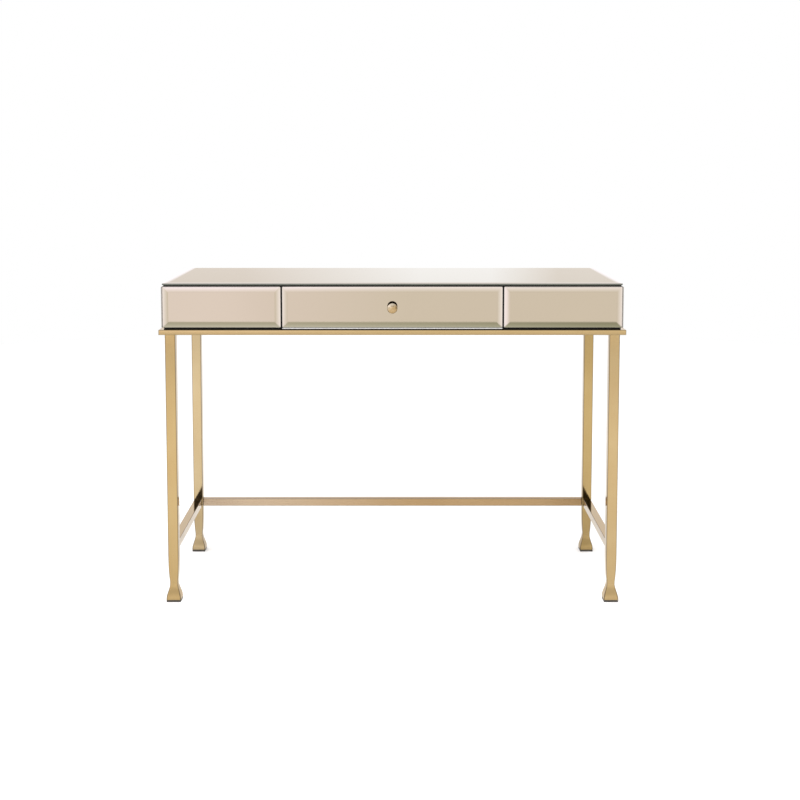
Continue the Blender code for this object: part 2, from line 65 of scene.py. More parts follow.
# ---------------------------------------------------------------- sizes of the fine detail, in metres
TOP_BEVEL_WIDTH = 0.016  # ground slope round the top glass
PANEL_BEVEL_WIDTH = 0.014  # ground slope round an upright panel
TOP_BEVEL_DROP = 0.0012
PANEL_BEVEL_DROP = 0.0016
BEVEL_STEPS = 8
BEVEL_HOLLOW = 0.40  # the slope is steeper at its outer edge, as a wheel grinds it
ARRIS = 0.0004  # tiny polished chamfer on every glass edge
TOP_CORNER_CUT = 0.0015  # the sheets' corners are dubbed off
PANEL_CORNER_CUT = 0.0016
BAR_ROUND = 0.0012  # rounding of the metal bars' edges
BAR_ROUND_STEPS = 4
PAD_ROUND = 0.0008
STRIP_ROUND = 0.0004
FINE_ROUND_STEPS = 3  # on the pads and the strip
FLAT_WITHIN = 0.00002  # a bar's point this near a side of its box lies on a flat
ROUND_WITHIN = 0.80  # faces round into one another where the cosine between them is above this
SHARP_ANGLE = 32  # degrees
LEG_ROUND = 0.0025
LEG_ROUND_SHARE = 0.15  # the rounding is at most this share of the leg's half width
LEG_STEPS = 4  # rings made for each one of the CAD leg
CORNER_STEPS = 5
FOOT_CHAMFER = 0.0005
SATIN_TOP = 0.052  # the forged feet are duller than the legs
SATIN_FADE = 0.012
KNOB_STEPS = 40
WAIST_STEPS = 6
KNOB_DARK_TO = 78  # degrees of the ball, from its back, that are painted dark as shade
KNOB_SIDES = 96
SCREW_SIDES = 48
SMALL_SCREW_SIDES = 24
LARGE_HEAD = 0.0042  # radius from which a screw's head gets the finer outline
LEAST_HEAD_HEIGHT = 0.0009
SCREW_SHARP_ANGLE = 40  # degrees
CROSS_HALF_LENGTH = 0.52  # of the recess, as a share of the head's radius
CROSS_HALF_WIDTH = 0.12
CROSS_TAPER = 0.55  # size of the recess's floor, as a share of its mouth's
CROSS_DEPTH = 0.75  # as a share of the head's height
DOME_STEPS = 6
THREAD_PITCH = 0.0011
THREAD_ROOT = 0.84  # radius between the threads, as a share of the shank's

# ---------------------------------------------------------------- tones
GLASS_TINT = (0.366, 0.316, 0.250)
GLASS_SHADE = (0.354, 0.304, 0.240)
BEVEL_TINT = (0.352, 0.304, 0.240)
BEVEL_SHADE_LEFT = (0.198, 0.176, 0.114)  # painted shade on the slopes that look down, at the table's left and right
BEVEL_SHADE_RIGHT = (0.136, 0.125, 0.070)
BEVEL_RIM_THIN_AND_HIGHLIGHT = (1.44, 1.50, 1.78)  # how much paler the glass is at its thin rim, partly the thinner glass and partly a painted highlight
EDGE_TONES = ((0.180, 0.165, 0.148), (0.225, 0.205, 0.188))
# the top sheet's edge, a far darker copy of the edge tones, as painted shade
TOP_EDGE_SHADED_TONES = ((0.045, 0.050, 0.036), (0.068, 0.074, 0.056))
GOLD = (0.392, 0.288, 0.148)
DEEP_GOLD = (0.366, 0.260, 0.125)
DULL_GOLD = (0.336, 0.229, 0.120)
DEEP_DULL_GOLD = (0.308, 0.204, 0.101)
# the back stretcher's left end, painted paler as light
LEFT_LIGHT_GOLD = (0.432, 0.338, 0.244)
# painted shade on the rounded edges of the bars and legs
EDGE_SHADE_GOLD = (0.105, 0.080, 0.045)
LEFT_LIGHT_FROM, LEFT_LIGHT_TO = -0.50, 0.05  # where the back stretcher is painted paler towards its left end, as light, along X
LEG_GOLDS = (  # the plating's tone differs a little from leg to leg
    ("front_left", (0.398, 0.289, 0.139), (0.356, 0.245, 0.107)),
    ("front_right", (0.412, 0.307, 0.161), (0.369, 0.260, 0.124)),
    ("back_left", (0.429, 0.337, 0.200), (0.385, 0.287, 0.154)),
    ("back_right", (0.366, 0.267, 0.120), (0.328, 0.227, 0.092)),
)
GLOSS_ROUGHNESS = 0.08
SATIN_ROUGHNESS = 0.26

# ---------------------------------------------------------------- camera and studio
CAMERA_PLACE = (0.0041, -3.2250, 1.0654)
CAMERA_PITCH = 5.094  # degrees below level
CAMERA_LENS = 58.16
CAMERA_SHIFT = (0.0074, -0.16)
FLOOR_RADIUS = 4.6
SOFTBOX_OVER = ((-0.3, -1.9, 2.9), (2.8, 2.6), 88.0)  # place, size and watts
FILL_UNDER = ((0.0, 0.0125, 0.60), (1.0, 0.40), 1.6)
CARD_SOFTNESS = 0.012


# ---------------------------------------------------------------- node helpers


def new_material(name):
    made = bpy.data.materials.new(name)
    made.use_nodes = True
    made.node_tree.nodes.clear()
    return made


class Graph:
    """A short way to write a material's or the world's node tree."""

    def __init__(self, tree):
        self.tree = tree

    def node(self, kind, settings=(), **inputs):
        made = self.tree.nodes.new(kind)
        for key, value in dict(settings).items():
            setattr(made, key, value)
        for key, value in inputs.items():
            self.set(made.inputs[key.replace("_", " ")], value)
        return made

    def set(self, socket, value):
        if isinstance(value, bpy.types.NodeSocket):
            self.tree.links.new(value, socket)
        else:
            socket.default_value = value

    def coordinates(self):
        return self.node("ShaderNodeTexCoord").outputs["Object"]

    def stretched(self, scale, offset=(0, 0, 0)):
        mapping = self.node("ShaderNodeMapping")
        self.set(mapping.inputs["Vector"], self.coordinates())
        mapping.inputs["Scale"].default_value = scale
        mapping.inputs["Location"].default_value = offset
        return mapping.outputs["Vector"]

    def noise(self, vector, scale, detail=3.0, roughness=0.5):
        made = self.node("ShaderNodeTexNoise", Scale=scale, Detail=detail, Roughness=roughness)
        self.set(made.inputs["Vector"], vector)
        return made.outputs["Fac"]

    def spread(self, value, low, high, start=0.3, end=0.7):
        """Maps a pattern's middle range to low..high."""
        made = self.node("ShaderNodeMapRange")
        self.set(made.inputs["Value"], value)
        made.inputs["From Min"].default_value = start
        made.inputs["From Max"].default_value = end
        made.inputs["To Min"].default_value = low
        made.inputs["To Max"].default_value = high
        return made.outputs["Result"]

    def math(self, operation, *values):
        made = self.node("ShaderNodeMath", {"operation": operation})
        for socket, value in zip(made.inputs, values):
            self.set(socket, value)
        return made.outputs["Value"]

    def mix(self, share, first, second, blend="MIX"):
        made = self.node("ShaderNodeMix", {"data_type": "RGBA", "blend_type": blend})
        self.set(made.inputs["Factor"], share)
        self.set(made.inputs["A"], first)
        self.set(made.inputs["B"], second)
        return made.outputs["Result"]

    def bump(self, height, strength, distance):
        made = self.node("ShaderNodeBump", Strength=strength, Distance=distance)
        self.set(made.inputs["Height"], height)
        return made.outputs["Normal"]

    def finish(self, shader):
        out = self.node("ShaderNodeOutputMaterial")
        self.tree.links.new(shader.outputs[0], out.inputs["Surface"])


def rgb(red, green, blue):
    return (red, green, blue, 1.0)


# ---------------------------------------------------------------- materials


def mirror_material(name, tint, shade, roughness):
    """Tinted silvered glass: a clean reflection, a slow drift of tint, and faint wiping marks."""
    made = new_material(name)
    graph = Graph(made.node_tree)
    drift = graph.noise(graph.stretched((1.0, 1.0, 1.0)), 2.6, 2.0)
    tone = graph.mix(graph.spread(drift, 0.0, 1.0), rgb(*tint), rgb(*shade))
    wipes = graph.noise(graph.stretched((3.0, 3.0, 9.0)), 6.0, 4.0)
    shader = graph.node("ShaderNodeBsdfPrincipled", Metallic=1.0)
    graph.set(shader.inputs["Base Color"], tone)
    graph.set(shader.inputs["Roughness"], graph.spread(wipes, roughness, roughness * 1.8))
    graph.finish(shader)
    return made


def bevel_material():
    """The ground slopes of the mirrors: paler towards the rim, partly as the tinted glass is thin there and
    partly a painted highlight; darker and olive where the slope looks down, more so towards the right, as
    painted shade."""
    made = new_material("champagne_mirror_bevel")
    graph = Graph(made.node_tree)
    thin = graph.node("ShaderNodeAttribute", {"attribute_name": "thinness"}).outputs["Fac"]
    normal = graph.node("ShaderNodeSeparateXYZ")
    graph.set(normal.inputs[0], graph.node("ShaderNodeTexCoord").outputs["Normal"])
    # painted shade: the slopes that look down are darker, more so towards the right
    down = graph.spread(normal.outputs["Z"], 1.0, 0.0, -0.10, -0.04)
    place = graph.node("ShaderNodeSeparateXYZ")
    graph.set(place.inputs[0], graph.coordinates())
    rightward = graph.spread(place.outputs["X"], 0.0, 1.0, -0.30, 0.50)
    low = graph.mix(rightward, rgb(*BEVEL_SHADE_LEFT), rgb(*BEVEL_SHADE_RIGHT))
    grind = graph.noise(graph.stretched((1.0, 1.0, 1.0)), 30.0, 3.0)
    shader = graph.node("ShaderNodeBsdfPrincipled", Metallic=1.0)
    tone = graph.mix(down, rgb(*BEVEL_TINT), low)
    # paler at the rim: partly the thinner glass, partly a painted highlight
    clear = graph.mix(graph.spread(thin, 0.0, 1.0, 0.1, 1.0), rgb(1.0, 1.0, 1.0), rgb(*BEVEL_RIM_THIN_AND_HIGHLIGHT))
    graph.set(shader.inputs["Base Color"], graph.mix(1.0, tone, clear, "MULTIPLY"))
    graph.set(shader.inputs["Roughness"], graph.spread(grind, 0.03, 0.06))
    graph.finish(shader)
    return made


def glass_edge_material(name, tint, shade):
    """Polished glass edge, its colour that of the light that comes through the whole sheet."""
    made = new_material(name)
    graph = Graph(made.node_tree)
    bands = graph.noise(graph.stretched((1.0, 1.0, 60.0)), 9.0, 3.0)
    tone = graph.mix(graph.spread(bands, 0.0, 1.0), rgb(*tint), rgb(*shade))
    shader = graph.node("ShaderNodeBsdfPrincipled", Metallic=0.0, IOR=1.52)
    shader.inputs["Coat Weight"].default_value = 0.4
    shader.inputs["Coat Roughness"].default_value = 0.05
    graph.set(shader.inputs["Base Color"], tone)
    graph.set(shader.inputs["Roughness"], graph.spread(bands, 0.10, 0.22))
    graph.finish(shader)
    return made


def glass_back_material():
    """Grey protective paint on the back of a mirror."""
    made = new_material("mirror_backing_paint")
    graph = Graph(made.node_tree)
    mottle = graph.noise(graph.coordinates(), 90.0, 4.0)
    shader = graph.node("ShaderNodeBsdfPrincipled")
    tone = graph.mix(graph.spread(mottle, 0.0, 1.0), rgb(0.10, 0.105, 0.10), rgb(0.15, 0.155, 0.15))
    graph.set(shader.inputs["Base Color"], tone)
    graph.set(shader.inputs["Roughness"], graph.spread(mottle, 0.5, 0.7))
    graph.finish(shader)
    return made


def gold_material(name, grain, tone=GOLD, deep=DEEP_GOLD, roughness=GLOSS_ROUGHNESS, left_light=None):
    """Polished gold plating. grain is the stretch of the brushing, small along the bar. The colour given after
    the roughness is painted at the left end as light. The rounded edges are darkened as painted shade."""
    made = new_material(name)
    graph = Graph(made.node_tree)
    cloud = graph.noise(graph.stretched((1.0, 1.0, 1.0)), 7.0, 4.0, 0.6)
    streaks = graph.noise(graph.stretched(grain), 1.0, 5.0, 0.65)
    pores = graph.noise(graph.coordinates(), 900.0, 2.0)
    share = graph.math("ADD", graph.spread(cloud, 0.0, 0.7), graph.spread(streaks, 0.0, 0.3))
    colour = graph.mix(share, rgb(*tone), rgb(*deep))
    # painted light: paler towards the left end
    if left_light:
        place = graph.node("ShaderNodeSeparateXYZ")
        graph.set(place.inputs[0], graph.coordinates())
        leftward = graph.spread(place.outputs["X"], 1.0, 0.0, LEFT_LIGHT_FROM, LEFT_LIGHT_TO)
        colour = graph.mix(leftward, colour, rgb(*left_light))
    # painted shade: the rounded edges are darkened
    edge = graph.node("ShaderNodeAttribute", {"attribute_name": "edge_shade"}).outputs["Fac"]
    edge = graph.math("MULTIPLY", edge, graph.spread(streaks, 0.62, 0.90))
    shader = graph.node("ShaderNodeBsdfPrincipled", Metallic=1.0)
    graph.set(shader.inputs["Base Color"], graph.mix(edge, colour, rgb(*EDGE_SHADE_GOLD)))
    worn = graph.spread(streaks, roughness * 0.85, roughness * 1.25)
    satin = graph.node("ShaderNodeAttribute", {"attribute_name": "satin"}).outputs["Fac"]
    worn = graph.math("ADD", worn, graph.math("MULTIPLY", satin, SATIN_ROUGHNESS))
    graph.set(shader.inputs["Roughness"], graph.math("ADD", worn, graph.spread(cloud, -0.01, 0.02)))
    height = graph.math("ADD", streaks, graph.math("MULTIPLY", pores, 0.35))
    graph.set(shader.inputs["Normal"], graph.bump(height, 0.04, 0.00015))
    graph.finish(shader)
    return made


def knob_material():
    """The knob's gold face, paler towards its upper left as a painted highlight."""
    made = new_material("gold_plating_knob")
    graph = Graph(made.node_tree)
    normal = graph.node("ShaderNodeSeparateXYZ")
    graph.set(normal.inputs[0], graph.node("ShaderNodeTexCoord").outputs["Normal"])
    lean = graph.math("SUBTRACT", normal.outputs["Z"], graph.math("MULTIPLY", normal.outputs["X"], 0.7))
    cloud = graph.noise(graph.coordinates(), 160.0, 4.0, 0.6)
    scratches = graph.noise(graph.stretched((300.0, 300.0, 1200.0)), 1.0, 4.0)
    # painted highlight where the face looks up and to the left, with a random cloud
    painted_highlight = graph.math("ADD", graph.spread(lean, 0.0, 1.0, -0.05, 0.75), graph.spread(cloud, -0.12, 0.12))
    shader = graph.node("ShaderNodeBsdfPrincipled", Metallic=1.0)
    tone = graph.mix(painted_highlight, rgb(0.335, 0.232, 0.115), rgb(0.660, 0.580, 0.455))
    graph.set(shader.inputs["Base Color"], tone)
    graph.set(shader.inputs["Roughness"], graph.spread(scratches, 0.14, 0.24))
    graph.set(shader.inputs["Normal"], graph.bump(scratches, 0.05, 0.0001))
    graph.finish(shader)
    return made


def knob_shadow_material():
    """The knob's stem and underside, painted near black as shade, with a little mottling."""
    made = new_material("knob_painted_shade")
    graph = Graph(made.node_tree)
    spots = graph.noise(graph.coordinates(), 420.0, 3.0)
    shader = graph.node("ShaderNodeBsdfPrincipled", Metallic=1.0)
    # painted shade: near black
    tone = graph.mix(graph.spread(spots, 0.0, 1.0), rgb(0.010, 0.006, 0.004), rgb(0.024, 0.015, 0.009))
    graph.set(shader.inputs["Base Color"], tone)
    graph.set(shader.inputs["Roughness"], graph.spread(spots, 0.30, 0.48))
    graph.finish(shader)
    return made


def black_board_material(name, tone, sheen, grain):
    """Sprayed black board: fine orange peel, a few lighter specks, a slightly uneven gloss."""
    made = new_material(name)
    graph = Graph(made.node_tree)
    peel = graph.noise(graph.coordinates(), grain, 3.0)
    cloud = graph.noise(graph.coordinates(), 14.0, 4.0)
    shader = graph.node("ShaderNodeBsdfPrincipled")
    lighter = tuple(1.7 * value for value in tone)
    colour = graph.mix(graph.spread(cloud, 0.0, 1.0), rgb(*tone), rgb(*lighter))
    graph.set(shader.inputs["Base Color"], colour)
    graph.set(shader.inputs["Roughness"], graph.spread(cloud, sheen, sheen + 0.14))
    graph.set(shader.inputs["Normal"], graph.bump(peel, 0.18, 0.0002))
    graph.finish(shader)
    return made


def steel_material(name, tone, roughness, grain):
    """Zinc-plated steel with a faint spangle and rolling marks."""
    made = new_material(name)
    graph = Graph(made.node_tree)
    spangle = graph.node("ShaderNodeTexVoronoi", {"feature": "F1"}, Scale=260.0)
    graph.set(spangle.inputs["Vector"], graph.coordinates())
    marks = graph.noise(graph.stretched(grain), 1.0, 4.0)
    shader = graph.node("ShaderNodeBsdfPrincipled", Metallic=1.0)
    darker = tuple(0.78 * value for value in tone)
    share = graph.math("MULTIPLY", spangle.outputs["Distance"], 1.6)
    graph.set(shader.inputs["Base Color"], graph.mix(share, rgb(*tone), rgb(*darker)))
    graph.set(shader.inputs["Roughness"], graph.spread(marks, roughness, roughness + 0.14))
    graph.set(shader.inputs["Normal"], graph.bump(marks, 0.12, 0.0001))
    graph.finish(shader)
    return made


def rubber_material():
    made = new_material("foot_rubber")
    graph = Graph(made.node_tree)
    grit = graph.noise(graph.coordinates(), 700.0, 3.0)
    dust = graph.noise(graph.coordinates(), 60.0, 4.0)
    shader = graph.node("ShaderNodeBsdfPrincipled")
    tone = graph.mix(graph.spread(dust, 0.0, 1.0), rgb(0.035, 0.031, 0.026), rgb(0.070, 0.062, 0.052))
    graph.set(shader.inputs["Base Color"], tone)
    graph.set(shader.inputs["Roughness"], graph.spread(dust, 0.62, 0.82))
    graph.set(shader.inputs["Normal"], graph.bump(grit, 0.35, 0.0003))
    graph.finish(shader)
    return made


def lining_material():
    """Flocked lining of the drawer's bottom."""
    made = new_material("drawer_flock_lining")
    graph = Graph(made.node_tree)
    fibres = graph.noise(graph.coordinates(), 1600.0, 3.0, 0.7)
    nap = graph.noise(graph.coordinates(), 22.0, 4.0)
    shader = graph.node("ShaderNodeBsdfPrincipled")
    shader.inputs["Sheen Weight"].default_value = 0.35
    shader.inputs["Sheen Roughness"].default_value = 0.5
    tone = graph.mix(graph.spread(nap, 0.0, 1.0), rgb(0.022, 0.020, 0.019), rgb(0.042, 0.039, 0.037))
    graph.set(shader.inputs["Base Color"], tone)
    graph.set(shader.inputs["Roughness"], graph.spread(fibres, 0.82, 0.98))
    graph.set(shader.inputs["Normal"], graph.bump(fibres, 0.5, 0.0004))
    graph.finish(shader)
    return made


# ---------------------------------------------------------------- pieces


def body_of(node):
    return frame["nodes"][node]["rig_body"]


def keep_flats_flat(mesh):
    """Weights each corner's normal by the areas of the faces that round into one another there."""
    around = [[] for _ in mesh.vertices]
    for face in mesh.polygons:
        for vertex in face.vertices:
            around[vertex].append(face)
    normals = []
    for face in mesh.polygons:
        for vertex in face.vertices:
            total = Vector((0, 0, 0))
            for other in around[vertex]:
                if other.normal.dot(face.normal) > ROUND_WITHIN:
                    total += other.normal * other.area
            normals.append(total.normalized())
    mesh.normals_split_custom_set(normals)


def piece(name, shape, materials, node, smooth=True, flats=False):
    """Makes an object of a bmesh that stands for a CAD node and moves with its body."""
    bmesh.ops.recalc_face_normals(shape, faces=shape.faces)
    mesh = bpy.data.meshes.new(name)
    shape.to_mesh(mesh)
    shape.free()
    for material in materials:
        mesh.materials.append(material)
    if smooth:
        mesh.shade_smooth()
        mesh.set_sharp_from_angle(angle=math.radians(SHARP_ANGLE))
    if flats:
        keep_flats_flat(mesh)
    made = bpy.data.objects.new(name, mesh)
    bpy.context.scene.collection.objects.link(made)
    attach(made, body_of(node))
    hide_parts(node)
    return made


def skin(shape, rings, slots=None, close=True):
    """Joins rings of equally many points. slots gives each band's material index, then the two end caps'."""
    made = [[shape.verts.new(point) for point in ring] for ring in rings]
    count = len(made[0])
    for band, (lower, upper) in enumerate(zip(made, made[1:])):
        for i in range(count):
            j = (i + 1) % count
            face = shape.faces.new((lower[i], lower[j], upper[j], upper[i]))
            face.material_index = slots[band] if slots else 0
    if close:
        shape.faces.new(made[0]).material_index = slots[-2] if slots else 0
        shape.faces.new(made[-1]).material_index = slots[-1] if slots else 0
    return made


def cut_corner_outline(half_u, half_v, cut):
    """A rectangle with its four corners cut at 45 degrees, anticlockwise from the lower left."""
    u, v = half_u, half_v
    return [
        (-u + cut, -v), (u - cut, -v), (u, -v + cut), (u, v - cut),
        (u - cut, v), (-u + cut, v), (-u, v - cut), (-u, -v + cut),
    ]


def mirror_sheet(node, facing, bevel, drop, corner, face, slope, edge, back):
    """A bevelled mirror in the place of a CAD glass. facing is the axis and sign its face looks along."""
    low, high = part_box(node)
    axis, sign = facing
    along, up = [i for i in range(3) if i != axis]
    middle = (low + high) / 2
    half_u = (high[along] - low[along]) / 2
    half_v = (high[up] - low[up]) / 2
    front = high[axis] if sign > 0 else low[axis]
    rear = low[axis] if sign > 0 else high[axis]

    def ring(inset, depth, cut):
        points = []
        for u, v in cut_corner_outline(half_u - inset, half_v - inset, cut):
            point = Vector(middle)
            point[along] += u
            point[up] += v
            point[axis] = depth
            points.append(point)
        return points

    shape = bmesh.new()
    rim = front - sign * drop
    rings = [
        ring(ARRIS, rear, corner - ARRIS * 0.4),
        ring(0, rear + sign * ARRIS, corner),
        ring(0, rim - sign * ARRIS, corner),
    ]
    for k in range(BEVEL_STEPS + 1):
        share = k / BEVEL_STEPS
        inset = ARRIS + (bevel - ARRIS) * share
        depth = drop * (share + BEVEL_HOLLOW * share * (1 - share))
        rings.append(ring(inset, rim + sign * depth, corner * (1 - 0.85 * share)))
    thinness = shape.verts.layers.float.new("thinness")
    made = skin(shape, rings, [2, 2, 2] + [1] * BEVEL_STEPS + [3, 0])
    for k, verts in enumerate(made[3:]):
        for vert in verts:
            vert[thinness] = 1 - k / BEVEL_STEPS
    return piece("mirror_" + node, shape, [face, slope, edge, back], node, smooth=False)


def rounded_bar(node, name, material, radius, steps=BAR_ROUND_STEPS):
    """A bar the size of its CAD node, with truly round edges."""
    low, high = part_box(node)
    shape = bmesh.new()
    bmesh.ops.create_cube(shape, size=1.0)
    bmesh.ops.scale(shape, vec=high - low, verts=shape.verts)
    bmesh.ops.translate(shape, vec=(low + high) / 2, verts=shape.verts)
    bmesh.ops.bevel(
        shape, geom=list(shape.edges), offset=radius, segments=steps, profile=0.5, affect="EDGES",
        clamp_overlap=True,
    )
    # the rounded edges get a painted shade
    edge_shade = shape.verts.layers.float.new("edge_shade")
    for vert in shape.verts:
        flat = any(min(vert.co[i] - low[i], high[i] - vert.co[i]) < FLAT_WITHIN for i in range(3))
        vert[edge_shade] = 0.0 if flat else 1.0
    return piece(name, shape, [material], node, flats=True)


def leg_profile(node):
    """(height, half width) pairs read from the CAD leg, from foot to top."""
    low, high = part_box(node)
    middle = (low.x + high.x) / 2
    widths = {}
    for vertex in frame["nodes"][node].data.vertices:
        height = round(vertex.co.z, 5)
        widths[height] = max(widths.get(height, 0.0), abs(vertex.co.x - middle))
    return sorted(widths.items())


def slope_at(points, i):
    """Slope of a smooth line through (x, y) points at point i, flat where the line turns."""
    if i == 0 or i == len(points) - 1:
        return 0.0
    before = (points[i][1] - points[i - 1][1]) / (points[i][0] - points[i - 1][0])
    after = (points[i + 1][1] - points[i][1]) / (points[i + 1][0] - points[i][0])
    if before * after <= 0:
        return 0.0
    return 2 * before * after / (before + after)


def smooth_line(points, steps):
    """More points on a smooth line through the given ones, with no overshoot."""
    made = []
    for i in range(len(points) - 1):
        (x0, y0), (x1, y1) = points[i], points[i + 1]
        span = x1 - x0
        start, end = slope_at(points, i) * span, slope_at(points, i + 1) * span
        for k in range(steps):
            t = k / steps
            blend = t * t * (3 - 2 * t)
            y = y0 + (y1 - y0) * blend + start * t * (1 - t) ** 2 - end * t * t * (1 - t)
            made.append((x0 + span * t, y))
    made.append(points[-1])
    return made


def rounded_square(middle, half, radius, z):
    """A square outline with arcs at its corners."""
    points = []
    inner = half - radius
    for corner, (sx, sy) in enumerate(((1, 1), (-1, 1), (-1, -1), (1, -1))):
        for k in range(CORNER_STEPS + 1):
            angle = (corner + k / CORNER_STEPS) * math.pi / 2
            x = middle.x + sx * inner + radius * math.cos(angle)
            y = middle.y + sy * inner + radius * math.sin(angle)
            points.append((x, y, z))
    return points


def make_leg(node, gold):
    low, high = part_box(node)
    middle = (low + high) / 2
    points = leg_profile(node)
    shape = bmesh.new()
    rings = []
    line = smooth_line(points[:-1], LEG_STEPS) + [points[-1]]
    foot = line[0][0]
    for z, half in line:
        radius = min(LEG_ROUND, LEG_ROUND_SHARE * half)
        if z == foot:
            rings.append(rounded_square(middle, half - FOOT_CHAMFER, radius, z))
            rings.append(rounded_square(middle, half, radius, z + FOOT_CHAMFER))
        elif z > foot + 1.2 * FOOT_CHAMFER:
            rings.append(rounded_square(middle, half, radius, z))
    # the leg's rounded corners get a painted shade
    edge_shade = shape.verts.layers.float.new("edge_shade")
    satin = shape.verts.layers.float.new("satin")
    made = skin(shape, rings)
    for ring in made:
        for i, vert in enumerate(ring):
            vert[edge_shade] = 0.0 if i % (CORNER_STEPS + 1) in (0, CORNER_STEPS) else 1.0
            vert[satin] = min(1.0, max(0.0, (SATIN_TOP - vert.co.z) / SATIN_FADE))
    return piece(node + "_forged", shape, [gold], node, flats=True)


def make_base(gold_x, gold_y, gold_z, gold_dull, rubber):
    for node in sorted(frame["nodes"]):
        if node.startswith("leg_"):
            make_leg(node, gold_z[node.removeprefix("leg_")])
        elif node.startswith("foot_pad_"):
            rounded_bar(node, node + "_rubber", rubber, PAD_ROUND, FINE_ROUND_STEPS)
        elif node.startswith(("frame_rail_", "stretcher_")):
            low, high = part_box(node)
            gold = gold_x if high.x - low.x > high.y - low.y else gold_y
            if node == "stretcher_back":
                gold = gold_dull
            rounded_bar(node, node + "_bar", gold, BAR_ROUND)


def make_mirrors(face_top, face, slope, edge_top, edge, back):
    flat = (TOP_BEVEL_WIDTH, TOP_BEVEL_DROP, TOP_CORNER_CUT, face_top, slope, edge_top, back)
    mirror_sheet("glass_top", (2, 1), *flat)
    upright = (PANEL_BEVEL_WIDTH, PANEL_BEVEL_DROP, PANEL_CORNER_CUT, face, slope, edge, back)
    mirror_sheet("glass_side_left", (0, -1), *upright)
    mirror_sheet("glass_side_right", (0, 1), *upright)
    mirror_sheet("glass_front_left", (1, -1), *upright)
    mirror_sheet("glass_front_right", (1, -1), *upright)
    mirror_sheet("drawer_glass", (1, -1), *upright)
    mirror_sheet("glass_back", (1, 1), *upright)


def turned(profile, sides, place, slots=None):
    """A solid turned about its own +Z from (radius, height) points that start and end on the axis."""
    shape = bmesh.new()
    rings = []
    for radius, height in profile[1:-1]:
        ring = []
        for i in range(sides):
            angle = 2 * math.pi * i / sides
            ring.append(place @ Vector((radius * math.cos(angle), radius * math.sin(angle), height)))
        rings.append(ring)
    made = skin(shape, rings, slots, close=False)
    start = shape.verts.new(place @ Vector((0, 0, profile[0][1])))
    end = shape.verts.new(place @ Vector((0, 0, profile[-1][1])))
    for i in range(sides):
        j = (i + 1) % sides
        shape.faces.new((start, made[0][j], made[0][i])).material_index = slots[-2] if slots else 0
        shape.faces.new((end, made[-1][i], made[-1][j])).material_index = slots[-1] if slots else 0
    return shape


def standing(point, direction):
    return Matrix.Translation(point) @ Vector(direction).to_track_quat("Z", "Y").to_matrix().to_4x4()


def make_knob(gold, dark_shade_paint):
    """A flattened ball on a waisted stem, gold in front, its underside and stem painted dark as shade."""
    low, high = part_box("knob")
    radius = (high.x - low.x) / 2
    reach = high.y - low.y
    thick = 0.20 * reach
    middle = reach - thick
    neck = 0.36 * radius
    start = math.asin(neck / radius)
    flange = 0.58 * radius
    root = 0.54 * radius
    seat = 0.0016
    profile = [(0, 0), (0.56 * radius, 0), (flange, 0.0003), (flange, 0.0012), (root, seat)]
    dark_until = len(profile)
    for k in range(1, WAIST_STEPS + 1):
        t = k / WAIST_STEPS
        height = seat + t * (middle - thick * math.cos(start) - seat)
        waist = neck + (root - neck) * (1 - t) ** 3
        profile.append((waist, height))
    for k in range(1, KNOB_STEPS):
        angle = start + (math.pi - start) * k / KNOB_STEPS
        profile.append((radius * math.sin(angle), middle - thick * math.cos(angle)))
        if angle < math.radians(KNOB_DARK_TO):
            dark_until = len(profile)
    profile.append((0, reach))
    bands = [1 if i < dark_until - 1 else 0 for i in range(len(profile) - 3)]
    base = Vector(((low.x + high.x) / 2, high.y, (low.z + high.z) / 2))
    shape = turned(profile, KNOB_SIDES, standing(base, (0, -1, 0)), bands + [1, 0])
    return piece("knob_turned", shape, [gold, dark_shade_paint], "knob")


def cross_cutter(place, head, depth):
    """A tapering cross, the recess of a screw's head."""
    shape = bmesh.new()
    for turn in (0, math.pi / 2):
        rings = []
        for share, z in ((1.0, -0.2 * depth), (CROSS_TAPER, depth)):
            u, v = CROSS_HALF_LENGTH * head * share, CROSS_HALF_WIDTH * head * share
            rings.append([(-u, -v, z), (u, -v, z), (u, v, z), (-u, v, z)])
        local = bmesh.new()
        skin(local, rings)
        bmesh.ops.transform(local, matrix=place @ Matrix.Rotation(turn, 4, "Z"), verts=local.verts)
        bmesh.ops.recalc_face_normals(local, faces=local.faces)
        mesh = bpy.data.meshes.new("cutter")
        local.to_mesh(mesh)
        local.free()
        shape.from_mesh(mesh)
        bpy.data.meshes.remove(mesh)
    mesh = bpy.data.meshes.new("cutter")
    shape.to_mesh(mesh)
    shape.free()
    made = bpy.data.objects.new("cutter", mesh)
    bpy.context.scene.collection.objects.link(made)
    return made


def carve(target, cutter):
    """Cuts cutter out of target for good, and removes the cutter."""
    modifier = target.modifiers.new("recess", "BOOLEAN")
    modifier.operation = "DIFFERENCE"
    modifier.solver = "EXACT"
    modifier.use_self = True
    modifier.object = cutter
    bpy.context.view_layer.update()
    graph = bpy.context.evaluated_depsgraph_get()
    mesh = bpy.data.meshes.new_from_object(target.evaluated_get(graph))
    old = target.data
    target.modifiers.clear()
    target.data = mesh
    mesh.name = old.name
    bpy.data.meshes.remove(old)
    bpy.data.objects.remove(cutter)


def distance_across(vertex, middle, axis):
    offset = vertex.co - middle
    offset[axis] = 0
    return offset.length


